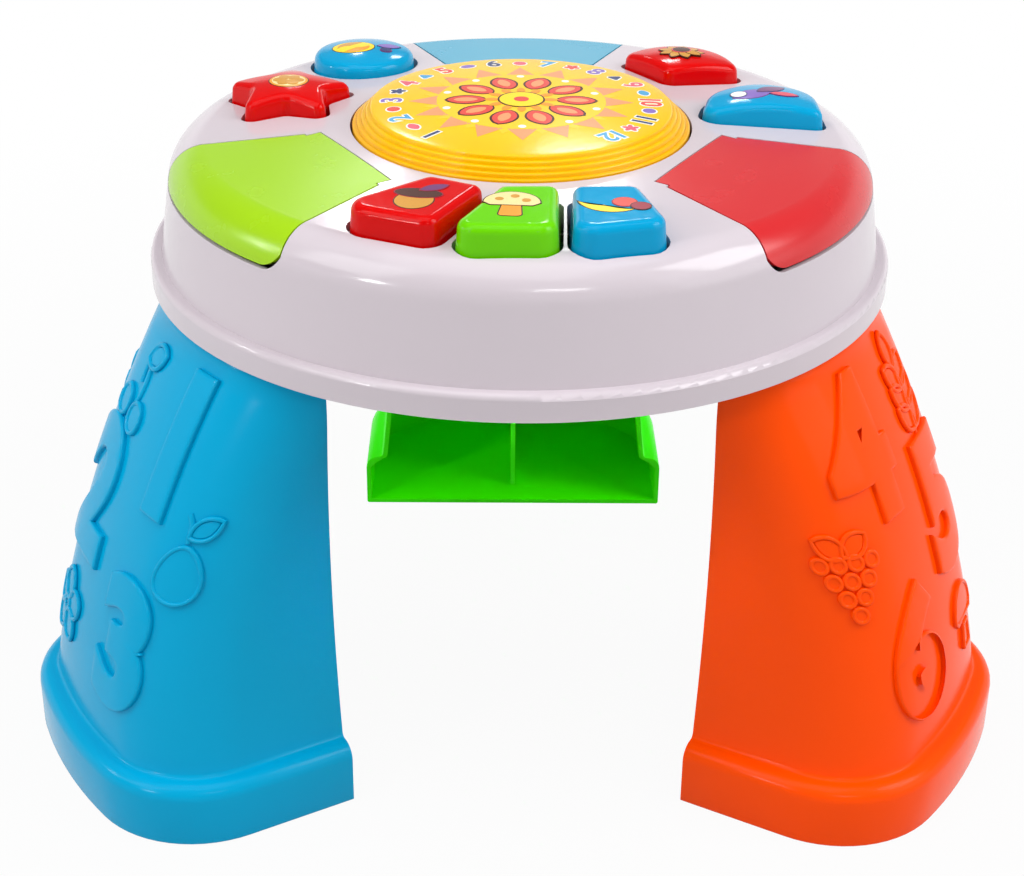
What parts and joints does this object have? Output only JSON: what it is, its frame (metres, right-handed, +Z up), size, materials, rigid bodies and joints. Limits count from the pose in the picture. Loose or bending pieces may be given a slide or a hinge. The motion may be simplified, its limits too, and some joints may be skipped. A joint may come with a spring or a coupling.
{
  "type": "musical activity table",
  "caption": "Round toddler activity table: domed housing with a lit sun disc, press buttons and hinged pads on hollow clip-in legs, open towards the middle.",
  "frame": {"origin": "on the floor at the vertical axis of the round housing", "axes": "+Z up, +X to the right along the front keys, -Y towards the child at the front keys"},
  "size_m": [0.5372, 0.4855, 0.3368],
  "materials": {
    "housing_plastic": "glossy moulded",
    "blue_plastic": "glossy moulded",
    "orange_plastic": "glossy moulded",
    "green_plastic": "glossy moulded",
    "sun_plastic": "glossy, translucent",
    "red_button_plastic": "glossy moulded",
    "blue_button_plastic": "glossy moulded",
    "lime_button_plastic": "glossy moulded",
    "green_pad_plastic": "satin moulded",
    "red_pad_plastic": "satin moulded",
    "blue_pad_plastic": "satin moulded",
    "white_plastic": "matt moulded",
    "dark_plastic": "matt moulded",
    "board_laminate": "solder mask",
    "lamp_resin": "clear",
    "silicone": "matt",
    "steel": "zinc plated",
    "cell_jacket": "plain wrap",
    "speaker_cone": "paper cone on a pressed frame"
  },
  "bodies": {
    "housing": {"top_shell": "housing_plastic", "bottom_cover": "housing_plastic", "leg_blue": "blue_plastic", "leg_orange": "orange_plastic", "leg_green": "green_plastic", "battery_door": "housing_plastic", "battery_door_screw": "steel", "batteries": "cell_jacket", "battery_contacts": "steel", "speaker": "speaker_cone", "speaker_screws": "steel", "housing_screws": "steel", "light_tray": "white_plastic", "tray_screws": "steel", "light_board": "board_laminate", "light_leds": "lamp_resin", "main_board": "board_laminate", "key_board": "board_laminate", "left_board": "board_laminate", "right_board": "board_laminate", "pad_boards": "board_laminate", "board_screws": "steel", "switch_body": "dark_plastic", "sun_domes": "silicone", "red_key_dome": "silicone", "green_key_dome": "silicone", "blue_key_dome": "silicone", "round_dome": "silicone", "star_dome": "silicone", "fan_dome": "silicone", "moon_dome": "silicone", "green_pad_dome": "silicone", "red_pad_dome": "silicone", "blue_pad_dome": "silicone"},
    "sun_disc": {"sun_lens": "sun_plastic"},
    "red_key": {"red_key": "red_button_plastic"},
    "green_key": {"green_key": "lime_button_plastic"},
    "blue_key": {"blue_key": "blue_button_plastic"},
    "round_button": {"round_button": "blue_button_plastic"},
    "star_button": {"star_button": "red_button_plastic"},
    "fan_button": {"fan_button": "red_button_plastic"},
    "moon_button": {"moon_button": "blue_button_plastic"},
    "green_pad": {"green_pad": "green_pad_plastic"},
    "red_pad": {"red_pad": "red_pad_plastic"},
    "blue_pad": {"blue_pad": "blue_pad_plastic"},
    "switch_knob": {"switch_knob": "dark_plastic"}
  },
  "joints": [
    {"name": "red_key_press", "type": "slide", "parent": "housing", "child": "red_key", "axis": [0, 0, -1], "range_m": [0, 0.003], "stiffness_N_per_m": 300, "springref_m": -0.002, "deforming": ["red_key_dome"]},
    {"name": "green_key_press", "type": "slide", "parent": "housing", "child": "green_key", "axis": [0, 0, -1], "range_m": [0, 0.003], "stiffness_N_per_m": 300, "springref_m": -0.002, "deforming": ["green_key_dome"]},
    {"name": "blue_key_press", "type": "slide", "parent": "housing", "child": "blue_key", "axis": [0, 0, -1], "range_m": [0, 0.003], "stiffness_N_per_m": 300, "springref_m": -0.002, "deforming": ["blue_key_dome"]},
    {"name": "round_button_press", "type": "slide", "parent": "housing", "child": "round_button", "axis": [0, 0, -1], "range_m": [0, 0.003], "stiffness_N_per_m": 300, "springref_m": -0.002, "deforming": ["round_dome"]},
    {"name": "star_button_press", "type": "slide", "parent": "housing", "child": "star_button", "axis": [0, 0, -1], "range_m": [0, 0.003], "stiffness_N_per_m": 300, "springref_m": -0.002, "deforming": ["star_dome"]},
    {"name": "fan_button_press", "type": "slide", "parent": "housing", "child": "fan_button", "axis": [0, 0, -1], "range_m": [0, 0.003], "stiffness_N_per_m": 300, "springref_m": -0.002, "deforming": ["fan_dome"]},
    {"name": "moon_button_press", "type": "slide", "parent": "housing", "child": "moon_button", "axis": [0, 0, -1], "range_m": [0, 0.003], "stiffness_N_per_m": 300, "springref_m": -0.002, "deforming": ["moon_dome"]},
    {"name": "sun_disc_press", "type": "slide", "parent": "housing", "child": "sun_disc", "axis": [0, 0, -1], "range_m": [0, 0.0025], "stiffness_N_per_m": 700, "springref_m": -0.003, "deforming": ["sun_domes"]},
    {"name": "green_pad_hinge", "type": "hinge", "parent": "housing", "child": "green_pad", "pos_m": [-0.08963, -0.05175, 0.31727], "axis": [0.5, -0.866, 0], "range_deg": [0, 1], "stiffness_Nm_per_rad": 6, "springref_deg": -0.34, "deforming": ["green_pad_dome"]},
    {"name": "red_pad_hinge", "type": "hinge", "parent": "housing", "child": "red_pad", "pos_m": [0.08963, -0.05175, 0.31727], "axis": [0.5, 0.866, 0], "range_deg": [0, 1], "stiffness_Nm_per_rad": 6, "springref_deg": -0.34, "deforming": ["red_pad_dome"]},
    {"name": "blue_pad_hinge", "type": "hinge", "parent": "housing", "child": "blue_pad", "pos_m": [0, 0.1035, 0.31727], "axis": [-1, 0, 0], "range_deg": [0, 1], "stiffness_Nm_per_rad": 6, "springref_deg": -0.34, "deforming": ["blue_pad_dome"]},
    {"name": "power_switch_slide", "type": "slide", "parent": "housing", "child": "switch_knob", "axis": [1, 0, 0], "range_m": [-0.003, 0.003]}
  ]
}
